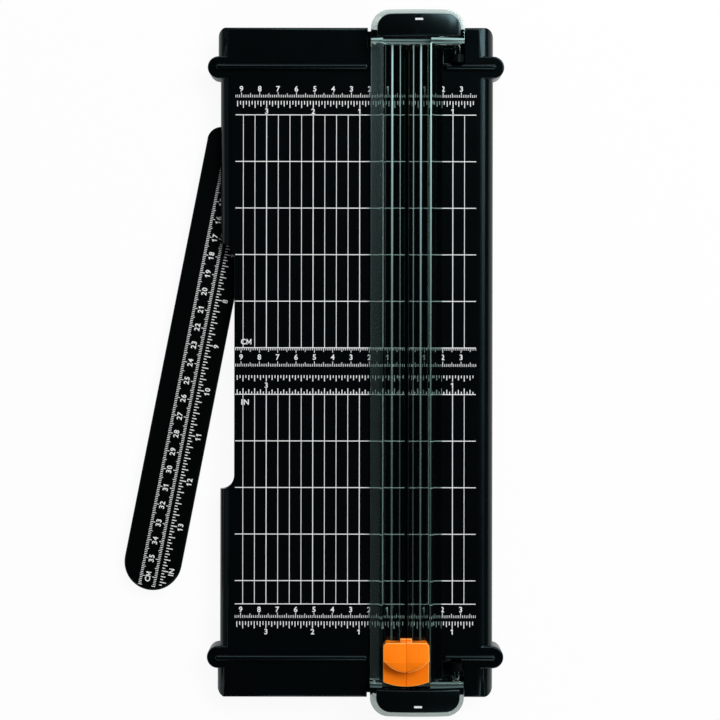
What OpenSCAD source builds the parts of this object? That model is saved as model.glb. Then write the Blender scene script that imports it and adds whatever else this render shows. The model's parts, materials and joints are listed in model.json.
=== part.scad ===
// Desk paper trimmer: a ruled bed, a clear cutting rail that hinges up at the right, a blade carriage
// that slides along the rail, and a ruler arm that swings out from under the left side.
// Built about the cut line: x = 0 on the cut, y = 0 at mid length, z = 0 on the table.

/* [Base] */
// Length of the base along the cut
base_l = 365.5; // [330:0.5:400]
// Cut line to the left side of the end margins
base_left = 103.1; // [101:0.1:112]
// Cut line to the right side
base_right = 48; // [45:0.1:60]
// Height of the ruled bed above the table
bed_h = 15; // [14.5:0.1:18]
// How far the left side is set back between the ears
bed_inset = 1.3; // [0.4:0.1:1.6]
// Plan radius of the base corners
corner_r = 5; // [3:0.1:6]
// Radius of the long left top edge
left_round = 6.8; // [4:0.1:7.5]
// Radius of the long right top edge
right_round = 8.9; // [5:0.1:9.5]
// Radius of the top edges at both ends
end_round = 1.5; // [0.6:0.1:2.4]
// Thickness of the side walls
wall = 2.6; // [2:0.1:3]
// Thickness of the bed plate
plate_t = 2.8; // [2.4:0.1:3.2]
// Thickness of the ribs under the bed
rib_t = 1.6; // [1.2:0.1:2.2]
// Number of cross ribs under the bed
rib_count = 10; // [6:1:14]

/* [Ears, fences and feet] */
// Radius of the four round ears
ear_r = 6; // [5.4:0.1:7]
// End of the base to the middle of the ears
ear_inset = 21.75; // [19.5:0.05:23]
// How far the middle of the ears lies in from the long sides
ear_set = 0.6; // [0:0.1:1.2]
// Radius round the top edge of the ears
ear_round = 0.9; // [0.3:0.1:1.5]
// Width of the fence ridges
fence_w = 3.2; // [2.4:0.1:3.6]
// Height of the fence ridges above the bed
fence_h = 2; // [1.7:0.1:3]
// Cut line to the inner end of each fence ridge
fence_gap = 22.2; // [21.5:0.1:24]
// Diameter of the rubber feet
foot_d = 9.2; // [7:0.1:9.6]
// Depth of the feet in their sockets
foot_seat = 1.4; // [1:0.1:2]
// How far the feet stand out below the base
foot_out = 1.2; // [0.8:0.1:1.6]

/* [Finger notch] */
// Length of the finger notch in the left side
notch_l = 134.8; // [110:0.2:140]
// Middle of the finger notch along the cut
notch_shift = -2.2; // [-6:0.1:4]
// Depth of the finger notch
notch_depth = 8.1; // [5:0.1:9]

/* [Cutting rail] */
// How far the rail reaches past each end of the base
rail_over = 7.65; // [7:0.05:9]
// Width over the sloped flanges
rail_w = 38.9; // [36:0.1:40]
// Half width over the side walls
rail_side = 14.4; // [14:0.1:15]
// Thickness of the side walls
rail_side_t = 1.7; // [1.4:0.1:1.9]
// Height of the side walls above the underside
rail_h = 7.6; // [7.2:0.1:8.5]
// Thickness of the rail floor
rail_floor = 1.8; // [1.5:0.1:2]
// Thickness at the outer edge of the flanges
flange_edge = 1.2; // [0.8:0.1:1.6]
// Height where the flanges meet the side walls
flange_top = 4; // [3:0.1:5]
// How far the holding lips reach in from the side walls
lip_reach = 1.4; // [1:0.1:1.6]
// Underside of the holding lips above the rail underside
lip_z = 4.2; // [4:0.1:4.6]
// Thickness of the holding lips
lip_t = 1.1; // [0.8:0.1:1.3]
// Cut line to the inner track ribs
track_in = 3; // [2.6:0.1:3.4]
// Cut line to the outer track ribs
track_out = 7.2; // [6.8:0.1:7.4]
// Thickness of the track ribs
track_t = 1.2; // [0.9:0.1:1.3]
// Height of the track ribs above the rail floor
track_h = 1.4; // [1:0.1:1.6]
// Width of the blade slot
slot_w = 1.4; // [1.2:0.1:1.6]
// Gap for paper between the bed and the rail
paper_gap = 0.4; // [0.3:0.05:0.8]
// Diameter of the cut line wire
wire_d = 0.4; // [0.3:0.05:0.5]

/* [End housings] */
// Length of each housing along the cut
house_l = 17.5; // [16:0.1:18]
// Cut line to the right side of the housings
house_right = 31.2; // [30.5:0.1:32]
// Plan radius of the outer corners of the housings
house_r = 9.8; // [8:0.1:12.5]
// Wall of the housings
house_wall = 2.2; // [1.8:0.1:2.6]
// Wider wall at the left of each housing and towards the channel
cap_ledge = 3.3; // [2.6:0.1:3.6]
// Depth of the housings below the bed
house_drop = 9; // [8:0.1:9.4]
// Height of the end caps above the bed
cap_rise = 11; // [10:0.1:12]
// Radius of the domed top of the housings and caps
dome_r = 140; // [100:1:200]

/* [Rail hinge] */
// Cut line to the hinge axis
hinge_x = 27.5; // [26.8:0.1:28]
// Hinge axis above the bed
hinge_rise = 1.5; // [1.2:0.1:2]
// Diameter of the hinge stubs
stub_d = 3.6; // [3:0.1:4]
// Thickness of the hinge blocks along the axis
block_t = 4.2; // [3.6:0.1:4.6]

/* [Blade carriage] */
// Length of the carriage
car_l = 23.6; // [22:0.1:26]
// How far the nose reaches over the end of the channel
car_nose = 2.1; // [1.2:0.1:2.4]
// Top of the front shelf above the rail underside
shelf_z = 9; // [8.4:0.1:9.6]
// Crest of the thumb pad above the rail underside
crest_z = 14; // [13:0.1:16]
// Radius over the crest of the thumb pad
crest_r = 7; // [6:0.1:8]
// Height of the thumb pad at its rear edge
pad_rear_z = 9.6; // [9:0.1:11]
// Plan radius of the lip at the front of the thumb pad
lip_bow = 14.2; // [13.4:0.1:18]
// How far the lip hangs over the front shelf
lip_over = 1.6; // [0.8:0.1:2]
// Thickness of the blade
blade_t = 0.5; // [0.4:0.05:0.6]
// Width of the blade along the cut
blade_w = 10; // [8:0.1:11]
// How far the blade point reaches below the bed
blade_dip = 0.9; // [0.5:0.1:1.2]
// Diameter of the cross pins that join the carriage halves
rivet_d = 2; // [1.6:0.1:2.4]

/* [Ruler arm] */
// Width of the arm
arm_w = 31.6; // [28:0.1:33]
// Thickness of the arm
arm_t = 3; // [2.4:0.1:3.2]
// Bevel along the top edges of the arm
arm_bevel = 1; // [0.5:0.1:1.5]
// Front ears to the tip of the stowed arm
arm_short = 29.8; // [22:0.1:60]
// Ruler reading at the shoulder of the arm
arm_root = 109.3; // [109:0.1:114]
// Plan radius of the shoulder corners
arm_corner = 8; // [6:0.1:9]
// Width of the tongue that runs to the pivot
tongue_w = 12; // [10:0.2:12.4]
// Ruler reading at the pivot, which is its distance from the cut line
pivot_reach = 88.4; // [86:0.1:89]
// Rear end of the base to the pivot
pivot_inset = 34.35; // [33.2:0.05:38]
// Radius of the round eye at the pivot
eye_r = 8; // [7:0.1:8.4]
// Angle of the arm out from its stowed place
arm_open = 11.1; // [0:0.1:80]
// Gap under the arm, down to its keeper plate
arm_gap = 0.3; // [0.2:0.05:0.4]
// Thickness of the keeper plate
keeper_t = 1.2; // [1:0.1:1.4]

/* [Fits] */
// Radial clearance of running fits
fit = 0.05; // [0.02:0.01:0.08]
// Sliding clearance of the carriage
slide = 0.3; // [0.2:0.05:0.35]

/* [Hidden] */
$fn = 96;
eps = 0.05;
over = 20;

// Levels
base_z = foot_out;
plate_z = bed_h - plate_t;
head_t = 0.8;
head_room = 0.7;
keeper_z = base_z + head_t;
web_z = keeper_z + keeper_t;
arm_z = web_z + arm_gap;
arm_top = arm_z + arm_t;
bay_z = arm_top + head_room;
rail_z = bed_h + paper_gap;
hinge_z = bed_h + hinge_rise;
house_z = bed_h - house_drop;
floor_t = 1.8;

// Base plan
end_y = base_l / 2;
bed_left = base_left - bed_inset;
ear_y = end_y - ear_inset;
notch_x = -bed_left + notch_depth;
notch_y = [notch_shift - notch_l / 2, notch_shift + notch_l / 2];
ear_x = [-base_left + ear_set, base_right - ear_set];

// Rail plan and the pockets that take its ends
rail_y = end_y + rail_over;
house_y = rail_y - house_l;
house_x = [-rail_w / 2, house_right];
house_mid = (house_x[0] + house_x[1]) / 2;
swing_room = 1.65;
side_room = 0.7;
end_room = 1;
drop_room = 1.3;
pocket_x = [house_x[0] - swing_room, house_right + side_room];
pocket_y = house_y - end_room;
pocket_z = house_z - drop_room;
block_wall = 1.6;
block_r = stub_d / 2 + block_wall;
block_side = 3.8;
block_foot = 3.4;
block_gap = 0.05;
fence_clear = 0.5;
stub_gap = 0.3;
recess_x = hinge_x - block_r - block_side;
recess_y = ear_y + fence_w / 2 + fence_clear;
recess_z = hinge_z - stub_d / 2 - block_foot;
block_y = recess_y + block_gap;
block_screw_d = 2;
block_screw_l = 5.2;
block_head_t = 1.3;

// Rail section
channel = rail_side - rail_side_t;
lip_x = channel - lip_reach;
wire_side = 0.35;
wire_room = 0.1;
wire_x = slot_w / 2 + wire_side + wire_d / 2;
wire_z = rail_z + wire_d / 2 + wire_room;
anchor_d = 2;
anchor_h = rail_floor - 0.4;
anchor_y = house_y - 1.2 * anchor_d;
groove_w = 1.3;
groove_room = 0.6;
groove_depth = blade_dip + groove_room;
cap_gap = 0.1;
rim_step = 0.8;
rim_slope = 1.9;
nose_room = 0.6;

// Carriage
car_stop = 0.5;
car_foot = car_l / 2 - car_nose;
car_rest = -(house_y - car_stop - car_foot);
car_side = channel - slide;
car_neck = lip_x - slide;
car_floor = rail_floor + slide;
car_under = rail_floor + track_h + slide;
car_over = lip_z + lip_t + slide;
lip_half = car_side - 1;
lip_y = 2.6;
lip_gap = 1.2;
tab_half = 3.2;
tab_l = 1.9;
tab_t = 2;
rivet_y = 7.8;
rivet_z = 7.2;

// Ruler arm
pivot_y = end_y - pivot_inset;
pivot = [-pivot_reach, pivot_y];
tip = pivot_y + ear_y - arm_short - arm_w / 2;
root = arm_root - pivot_reach;
bush_d = 7.6;
shank_d = 5;
shank_flange = 9.6;
pilot_d = 3;
pilot_l = 4;
pivot_boss_d = 12.6;
washer_t = 0.4;
bush_proud = 0.2;
washer_gap = 0.1;
pivot_boss_z = arm_top + bush_proud + washer_gap + washer_t;
tip_room = 6;
slot_end = 0.4;
slot_y = [-ear_y + arm_short - tip_room, ear_y - ear_r - slot_end];
bay_room = 2.2;
bay_x = -pivot_reach + arm_w / 2 + bay_room;
keeper_screw_d = 2.6;
keeper_boss_d = 7;
keeper_grip = 5;
keeper_hole_l = keeper_t + keeper_grip + 1;
keeper_edge = keeper_boss_d / 2 + 0.5;
keeper_hole_x = bay_x + (rib_t + keeper_boss_d) / 2;
keeper_x = [-pivot_reach - 1.25 * eye_r, keeper_hole_x + keeper_edge];
keeper_y = [pivot_y - 2 * eye_r, pivot_y + 0.75 * eye_r];
keeper_holes = [for (y = [keeper_y[0] + keeper_edge, keeper_y[1] - keeper_edge]) [keeper_hole_x, y]];
web_mid = (bay_x + pocket_x[0] - wall) / 2;
web_x = [bay_x, web_mid, pocket_x[0] - wall, -rib_t / 2, base_right / 2 - rib_t];

// The frame's origin is under the middle of the whole part with the arm at its drawn angle
left_reach = -pivot_reach - sin(arm_open) * tip - arm_w / 2;
origin_x = (left_reach + ear_x[1] + ear_r) / 2;

module place() {
    translate([-origin_x, 0, 0]) children();
}

// Extrudes a plan of x and z between two y values
module along_y(y0, y1) {
    translate([0, y1, 0]) rotate([90, 0, 0]) linear_extrude(y1 - y0) children();
}

// Extrudes a plan of y and z between two x values
module along_x(x0, x1) {
    translate([x0, 0, 0]) rotate([90, 0, 90]) linear_extrude(x1 - x0) children();
}

// Draws its children at the rear end, or mirrored at the front end
module at_end(front) {
    mirror([0, front ? 1 : 0, 0]) children();
}

module box(x, y, z) {
    translate([x[0], y[0], z[0]]) cube([x[1] - x[0], y[1] - y[0], z[1] - z[0]]);
}

module rect(x, y) {
    translate([x[0], y[0]]) square([x[1] - x[0], y[1] - y[0]]);
}

module round_rect(x, y, r) {
    rect([x[0] + r, x[1] - r], y);
    rect(x, [y[0] + r, y[1] - r]);
    for (cx = [x[0] + r, x[1] - r], cy = [y[0] + r, y[1] - r]) {
        translate([cx, cy]) circle(r);
    }
}

// A section with a flat foot and rounded upper corners
module arch(x, z, left_r, right_r) {
    difference() {
        rect(x, z);
        difference() {
            rect([x[0] - eps, x[0] + left_r], [z[1] - left_r, z[1] + eps]);
            translate([x[0] + left_r, z[1] - left_r]) circle(left_r);
        }
        difference() {
            rect([x[1] - right_r, x[1] + eps], [z[1] - right_r, z[1] + eps]);
            translate([x[1] - right_r, z[1] - right_r]) circle(right_r);
        }
    }
}

// Base

module ear_section() {
    arch([-ear_r, ear_r], [base_z, bed_h], ear_round, ear_round);
}

// A round ear with a neck that reaches in past the rounded side of the base
module ear(neck) {
    rotate_extrude() intersection() {
        ear_section();
        rect([0, ear_r + eps], [0, bed_h + eps]);
    }
    along_x(0, neck) ear_section();
}

module ears() {
    for (s = [-1, 1]) {
        translate([ear_x[0], s * ear_y, 0]) ear(left_round + ear_round);
        translate([ear_x[1], s * ear_y, 0]) mirror([1, 0, 0]) ear(right_round + ear_round);
    }
}

module base_block() {
    intersection() {
        union() {
            along_y(-end_y, end_y) arch([-bed_left, base_right], [base_z, bed_h], left_round, right_round);
            for (front = [false, true]) {
                at_end(front) along_y(ear_y, end_y)
                    arch([-base_left, base_right], [base_z, bed_h], left_round, right_round);
            }
        }
        along_x(-base_left - over, base_right + over)
            arch([-end_y, end_y], [base_z, bed_h], end_round, end_round);
        linear_extrude(bed_h + over) round_rect([-base_left, base_right], [-end_y, end_y], corner_r);
    }
    ears();
}

module notch_plan(grow) {
    round_rect([-base_left - over, notch_x + grow], [notch_y[0] - grow, notch_y[1] + grow],
        notch_depth + grow);
}

// Solid stretches left standing in the hollow underside
module inner_webs() {
    intersection() {
        ears();
        linear_extrude(plate_z + eps) rect([-base_left, base_right], [-end_y, end_y]);
    }
    for (front = [false, true]) {
        at_end(front) {
            box([pocket_x[0] - wall, pocket_x[1] + wall], [pocket_y - wall, end_y],
                [pocket_z - floor_t, bed_h]);
            box([recess_x - wall, pocket_x[1] + wall], [recess_y - wall, pocket_y],
                [recess_z - floor_t, bed_h]);
        }
    }
    translate([0, 0, bay_z]) linear_extrude(bed_h - bay_z) notch_plan(wall);
    for (i = [1 : rib_count]) {
        y = -end_y + i * base_l / (rib_count + 1);
        box([-bed_left, base_right], [y - rib_t / 2, y + rib_t / 2], [bay_z, plate_z + eps]);
        box([bay_x, base_right], [y - rib_t / 2, y + rib_t / 2], [web_z, plate_z + eps]);
    }
    for (x = web_x) {
        box([x, x + rib_t], [-end_y, end_y], [web_z, plate_z + eps]);
    }
    translate([pivot[0], pivot[1], pivot_boss_z]) cylinder(d = pivot_boss_d, h = plate_z - pivot_boss_z + eps);
    for (p = keeper_holes) {
        translate([p[0], p[1], web_z]) cylinder(d = keeper_boss_d, h = plate_z - web_z + eps);
    }
}

module fences() {
    for (s = [-1, 1], x = [[ear_x[0], -fence_gap], [fence_gap, ear_x[1]]]) {
        translate([0, s * ear_y, bed_h + fence_h - fence_w / 2]) {
            translate([x[0], 0, 0]) rotate([0, 90, 0]) cylinder(d = fence_w, h = x[1] - x[0]);
            for (end = x) {
                translate([end, 0, 0]) sphere(d = fence_w);
            }
        }
        box(x, [s * ear_y - fence_w / 2, s * ear_y + fence_w / 2],
            [bed_h - 1, bed_h + fence_h - fence_w / 2]);
    }
}

module foot_at(x, s) {
    translate([x, s * ear_y, 0]) children();
}

module base_shell() {
    color("#1b1e20") place() difference() {
        union() {
            difference() {
                base_block();
                difference() {
                    union() {
                        along_y(-end_y + wall, end_y - wall)
                            arch([-bed_left + wall, base_right - wall], [base_z - 1, plate_z],
                                left_round - wall, right_round - wall);
                        box([-base_left - over, -bed_left + left_round + wall], slot_y, [base_z - 1, bay_z]);
                    }
                    inner_webs();
                }
            }
            fences();
        }
        for (front = [false, true]) {
            at_end(front) {
                box(pocket_x, [pocket_y, end_y + over], [pocket_z, bed_h + over]);
                box([recess_x, pocket_x[1]], [recess_y, pocket_y + eps], [recess_z, bed_h + over]);
                translate([hinge_x, block_y + block_t / 2, 0]) cylinder(d = block_screw_d + 0.4, h = bed_h);
            }
        }
        translate([0, 0, base_z - 1]) linear_extrude(bed_h + over) notch_plan(0);
        box([-groove_w / 2, groove_w / 2], [-pocket_y - eps, pocket_y + eps], [bed_h - groove_depth, bed_h + 1]);
        for (x = ear_x, s = [-1, 1]) {
            foot_at(x, s) translate([0, 0, base_z - eps]) cylinder(d = foot_d, h = foot_seat + eps);
        }
        translate([pivot[0], pivot[1], pivot_boss_z - eps]) cylinder(d = pilot_d, h = pilot_l + eps);
        for (p = keeper_holes) {
            translate([p[0], p[1], keeper_z]) cylinder(d = keeper_screw_d, h = keeper_hole_l);
        }
    }
}

module foot() {
    color("#26282a") place() children();
}

module foot_solid() {
    cylinder(d1 = foot_d - 1, d2 = foot_d, h = foot_out - 0.2);
    translate([0, 0, foot_out - 0.2]) cylinder(d = foot_d, h = foot_seat + 0.2);
}

module foot_rear_left() {
    foot() foot_at(ear_x[0], 1) foot_solid();
}

module foot_rear_right() {
    foot() foot_at(ear_x[1], 1) foot_solid();
}

module foot_front_left() {
    foot() foot_at(ear_x[0], -1) foot_solid();
}

module foot_front_right() {
    foot() foot_at(ear_x[1], -1) foot_solid();
}

// Rail hinge

module hinge_block(front) {
    color("#202427") place() at_end(front) difference() {
        along_y(block_y, block_y + block_t) {
            rect([hinge_x - block_r, hinge_x + block_r], [recess_z, hinge_z]);
            translate([hinge_x, hinge_z]) circle(block_r);
        }
        translate([hinge_x, block_y - 1, hinge_z]) rotate([-90, 0, 0])
            cylinder(d = stub_d + 2 * fit, h = block_t + 2);
        translate([hinge_x, block_y + block_t / 2, recess_z - eps])
            cylinder(d = block_screw_d, h = block_screw_l - floor_t + eps);
    }
}

module hinge_block_rear() {
    hinge_block(false);
}

module hinge_block_front() {
    hinge_block(true);
}

// A cross-recess screw that points up, with its head under z = 0
module pan_screw(d, l, head_d, head_t) {
    difference() {
        union() {
            translate([0, 0, -head_t]) cylinder(d = d, h = head_t + l);
            translate([0, 0, -head_t]) cylinder(d = head_d, h = head_t);
        }
        for (a = [0, 90]) {
            rotate([0, 0, a]) box([-head_d / 4, head_d / 4], [-head_d / 16, head_d / 16],
                [-head_t - eps, -head_t / 2]);
        }
    }
}

module hinge_screws() {
    color("silver") place() for (front = [false, true]) {
        at_end(front) translate([hinge_x, block_y + block_t / 2, recess_z - floor_t])
            pan_screw(block_screw_d, block_screw_l - stub_gap, 2 * block_screw_d, block_head_t);
    }
}

// Arm keeper and pivot

module arm_keeper() {
    color("#1b1e20") place() difference() {
        translate([0, 0, keeper_z]) linear_extrude(keeper_t)
            round_rect(keeper_x, keeper_y, 3);
        translate([pivot[0], pivot[1], keeper_z - 1]) cylinder(d = shank_d + 0.4, h = keeper_t + 2);
        for (p = keeper_holes) {
            translate([p[0], p[1], keeper_z - 1]) cylinder(d = keeper_screw_d + 0.4, h = keeper_t + 2);
        }
    }
}

module keeper_screws() {
    color("silver") place() for (p = keeper_holes) {
        translate([p[0], p[1], keeper_z])
            pan_screw(keeper_screw_d, keeper_t + keeper_grip, 2 * keeper_screw_d, head_t);
    }
}

module pivot_screw() {
    color("silver") place() translate([pivot[0], pivot[1], keeper_z]) {
        pan_screw(shank_d, pivot_boss_z - keeper_z, shank_flange, head_t);
        translate([0, 0, pivot_boss_z - keeper_z - eps]) cylinder(d = pilot_d, h = pilot_l);
    }
}

module pivot_washer() {
    color("silver") place() translate([pivot[0], pivot[1], pivot_boss_z - washer_t]) difference() {
        cylinder(d = shank_flange, h = washer_t);
        translate([0, 0, -eps]) cylinder(d = shank_d + 0.2, h = washer_t + 2 * eps);
    }
}

// Cutting rail

// Right half of the rail section, up to the blade slot
module rail_half() {
    polygon([[slot_w / 2, 0], [rail_w / 2, 0], [rail_w / 2, flange_edge], [rail_side, flange_top],
        [rail_side, rail_h], [channel, rail_h], [channel, lip_z + lip_t], [lip_x, lip_z + lip_t],
        [lip_x, lip_z], [channel, lip_z], [channel, rail_floor], [slot_w / 2, rail_floor]]);
    crown = rail_floor + track_h - track_t / 2;
    for (x = [track_in, track_out]) {
        rect([x, x + track_t], [rail_floor - eps, crown]);
        translate([x + track_t / 2, crown]) circle(d = track_t);
    }
}

// Plan of a housing, drawn in by one amount at its outer sides and by another at the left and inner ones
module housing_plan(inset, ledge) {
    r = house_r - inset;
    x = [house_x[0] + ledge, house_x[1] - inset];
    y = [house_y + ledge, rail_y - inset];
    intersection() {
        rect(x, y);
        round_rect(x, [y[0] - house_r, y[1]], r);
    }
}

// Everything under a domed top of the given height
module under_dome(rise) {
    translate([house_mid, 0, bed_h + rise - dome_r]) rotate([-90, 0, 0])
        cylinder(r = dome_r, h = rail_y + 1, $fn = 360);
}

module housing() {
    difference() {
        intersection() {
            translate([0, 0, house_z]) linear_extrude(house_drop + cap_rise + 1) housing_plan(0, 0);
            under_dome(cap_rise - rim_step);
        }
        translate([0, 0, rail_z]) linear_extrude(cap_rise + 1) housing_plan(house_wall, cap_ledge);
        along_x(house_x[0] - 1, house_x[1] + 1)
            polygon([[house_y - 1, rail_z + rail_h], [house_y, rail_z + rail_h],
                [house_y + rim_slope, bed_h + cap_rise], [house_y - 1, bed_h + cap_rise]]);
        box([-car_side - nose_room, car_side + nose_room], [house_y - 1, house_y + cap_ledge + 1],
            [rail_z + lip_z + lip_t, bed_h + cap_rise]);
        difference() {
            translate([0, 0, house_z - 1]) linear_extrude(rail_z - rail_floor - house_z + 1)
                housing_plan(house_wall, house_wall);
            box([house_mid - rib_t / 2, house_mid + rib_t / 2], [house_y, rail_y], [house_z, rail_z]);
        }
    }
    translate([hinge_x, block_y + stub_gap, hinge_z]) rotate([-90, 0, 0])
        cylinder(d = stub_d, h = house_y + house_wall - block_y - stub_gap);
}

module rail() {
    color("#bcd6d0", 0.4) place() difference() {
        union() {
            translate([0, 0, rail_z]) along_y(-house_y - eps, house_y + eps) {
                rail_half();
                mirror([1, 0]) rail_half();
            }
            for (front = [false, true]) {
                at_end(front) {
                    housing();
                    box([-slot_w, slot_w], [anchor_y - anchor_d, house_y + eps], [rail_z, rail_z + rail_floor]);
                }
            }
        }
        box([wire_x - wire_d / 2 - fit, wire_x + wire_d / 2 + fit], [-anchor_y, anchor_y],
            [rail_z - eps, wire_z + wire_d / 2 + wire_room]);
        for (s = [-1, 1]) {
            translate([wire_x, s * anchor_y, rail_z - eps]) cylinder(d = anchor_d, h = anchor_h + eps);
        }
    }
}

module end_cap(front) {
    color("#16181a") place() at_end(front) intersection() {
        translate([0, 0, rail_z]) linear_extrude(cap_rise + 1)
            housing_plan(house_wall + cap_gap, cap_ledge + cap_gap);
        under_dome(cap_rise);
    }
}

module end_cap_rear() {
    end_cap(false);
}

module end_cap_front() {
    end_cap(true);
}

module cut_line_wire() {
    color("silver") place() translate([wire_x, -anchor_y + anchor_d / 2, wire_z]) rotate([-90, 0, 0])
        cylinder(d = wire_d, h = 2 * anchor_y - anchor_d);
}

module wire_anchor(s) {
    color("dimgray") place() translate([wire_x, s * anchor_y, rail_z])
        cylinder(d = anchor_d, h = anchor_h);
}

module wire_anchor_rear() {
    wire_anchor(1);
}

module wire_anchor_front() {
    wire_anchor(-1);
}

// Blade carriage

// Right half of the carriage section, which hooks under the lip of the rail
module carriage_section() {
    polygon([[0, car_floor], [track_in - slide, car_floor], [track_in - slide, car_under],
        [track_out + track_t + slide, car_under], [track_out + track_t + slide, car_floor],
        [car_side, car_floor], [car_side, lip_z - slide], [car_neck, lip_z - slide],
        [car_neck, car_over], [car_side, car_over], [car_side, crest_z + 1], [0, crest_z + 1]]);
}

module carriage_plan() {
    back = car_l / 2;
    clip = 1.6;
    bow = 32;
    intersection() {
        polygon([[-1, -back - 1], [car_side, -back - 1], [car_side, back - clip],
            [car_side - clip, back], [-1, back]]);
        translate([0, bow - back]) circle(bow);
    }
}

// Plan of the thumb pad: full width behind, with a bowed lip in front
module pad_plan(setback) {
    lip_mid = lip_y + sqrt(lip_bow * lip_bow - lip_half * lip_half);
    rect([-car_side - 1, car_side + 1], [lip_y + setback, car_l / 2 + 1]);
    intersection() {
        translate([0, lip_mid + setback]) circle(lip_bow);
        rect([-car_side, car_side], [lip_y - lip_bow, lip_y + setback + eps]);
    }
}

// Side view of the thumb pad, which rises to its crest and rolls over to the front
module pad_side() {
    polygon([[car_l / 2, car_over], [car_l / 2, pad_rear_z], [lip_y, crest_z], [lip_y, car_over]]);
    intersection() {
        translate([lip_y, crest_z - crest_r]) circle(crest_r);
        rect([lip_y - crest_r, lip_y + eps], [car_over, crest_z + 1]);
    }
}

module thumb_pad() {
    intersection() {
        union() {
            linear_extrude(crest_z + 1) pad_plan(lip_over);
            translate([0, 0, shelf_z + lip_gap]) linear_extrude(crest_z) pad_plan(0);
        }
        along_x(-car_side - 1, car_side + 1) pad_side();
    }
}

module carriage_body() {
    back = car_l / 2;
    difference() {
        intersection() {
            union() {
                linear_extrude(shelf_z) carriage_plan();
                intersection() {
                    linear_extrude(crest_z + 1) carriage_plan();
                    thumb_pad();
                }
                box([-1, tab_half], [back - 1, back + tab_l], [car_over + eps, car_over + tab_t]);
            }
            along_y(-car_l, car_l) carriage_section();
        }
        box([-eps, car_side + 1], [-back - 1, -car_foot], [0, car_over + eps]);
    }
}

module blade_shape() {
    low = -paper_gap - blade_dip;
    shoulder = car_under;
    polygon([[-blade_w / 2, shelf_z - 1.5], [-blade_w / 2, shoulder], [-0.4, low], [0.4, low],
        [blade_w / 2, shoulder], [blade_w / 2, shelf_z - 1.5]]);
}

module carriage_half(left) {
    color("#f28a12") place() translate([0, car_rest, rail_z]) mirror([left ? 1 : 0, 0, 0]) difference() {
        carriage_body();
        along_x(-blade_t / 2, blade_t / 2) blade_shape();
        for (s = [-1, 1]) {
            translate([-eps, s * rivet_y, rivet_z]) rotate([0, 90, 0])
                cylinder(d = rivet_d, h = car_side / 2 + eps);
        }
    }
}

module carriage_left() {
    carriage_half(true);
}

module carriage_right() {
    carriage_half(false);
}

module blade() {
    color("silver") place() translate([0, car_rest, rail_z])
        along_x(-blade_t / 2, blade_t / 2) blade_shape();
}

module carriage_rivets() {
    color("silver") place() translate([0, car_rest, rail_z]) for (s = [-1, 1]) {
        translate([-car_side / 2, s * rivet_y, rivet_z]) rotate([0, 90, 0])
            cylinder(d = rivet_d, h = car_side);
    }
}

// Ruler arm

module arm_plan() {
    half = arm_w / 2;
    translate([0, -tip]) circle(half);
    rect([-half, half], [-tip, -root - arm_corner]);
    rect([-half + arm_corner, half - arm_corner], [-root - arm_corner - eps, -root]);
    for (x = [-half + arm_corner, half - arm_corner]) {
        translate([x, -root - arm_corner]) circle(arm_corner);
    }
    rect([-tongue_w / 2, tongue_w / 2], [-root - arm_corner, 0]);
    circle(eye_r);
}

module bevel_section() {
    polygon([[arm_w / 2 + eps, arm_t - arm_bevel * 0.8], [arm_w / 2 + eps, arm_t + eps],
        [arm_w / 2 - arm_bevel, arm_t + eps], [arm_w / 2 - arm_bevel, arm_t],
        [arm_w / 2, arm_t - arm_bevel * 0.8]]);
}

module ruler_arm() {
    color("#1b1e20") place() translate([pivot[0], pivot[1], arm_z]) rotate([0, 0, -arm_open]) difference() {
        linear_extrude(arm_t) arm_plan();
        for (m = [0, 1]) {
            mirror([m, 0, 0]) along_y(-tip, -root - arm_corner) bevel_section();
        }
        translate([0, -tip, 0]) rotate([0, 0, 180]) rotate_extrude(angle = 180) bevel_section();
        translate([0, 0, -1]) cylinder(d = bush_d, h = arm_t + 2);
    }
}

module arm_bush() {
    color("#d9d4c6") place() translate([pivot[0], pivot[1], arm_z]) difference() {
        cylinder(d = bush_d, h = arm_t + bush_proud);
        translate([0, 0, -1]) cylinder(d = shank_d + 2 * fit, h = arm_t + 2);
    }
}

base_shell();
foot_rear_left();
foot_rear_right();
foot_front_left();
foot_front_right();
hinge_block_rear();
hinge_block_front();
hinge_screws();
arm_keeper();
keeper_screws();
pivot_screw();
pivot_washer();
rail();
end_cap_rear();
end_cap_front();
cut_line_wire();
wire_anchor_rear();
wire_anchor_front();
carriage_left();
carriage_right();
blade();
carriage_rivets();
ruler_arm();
arm_bush();
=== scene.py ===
"""Looks of a desk paper trimmer: finishes, printed scales and studio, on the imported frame.

Sizes are in millimetres, and MM turns them into Blender's metres.
"""

import json
import logging
import math
from collections.abc import Callable
from dataclasses import dataclass, field
from enum import Enum
from typing import Any

import bmesh
import bpy
from mathutils import Matrix, Vector


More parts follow.
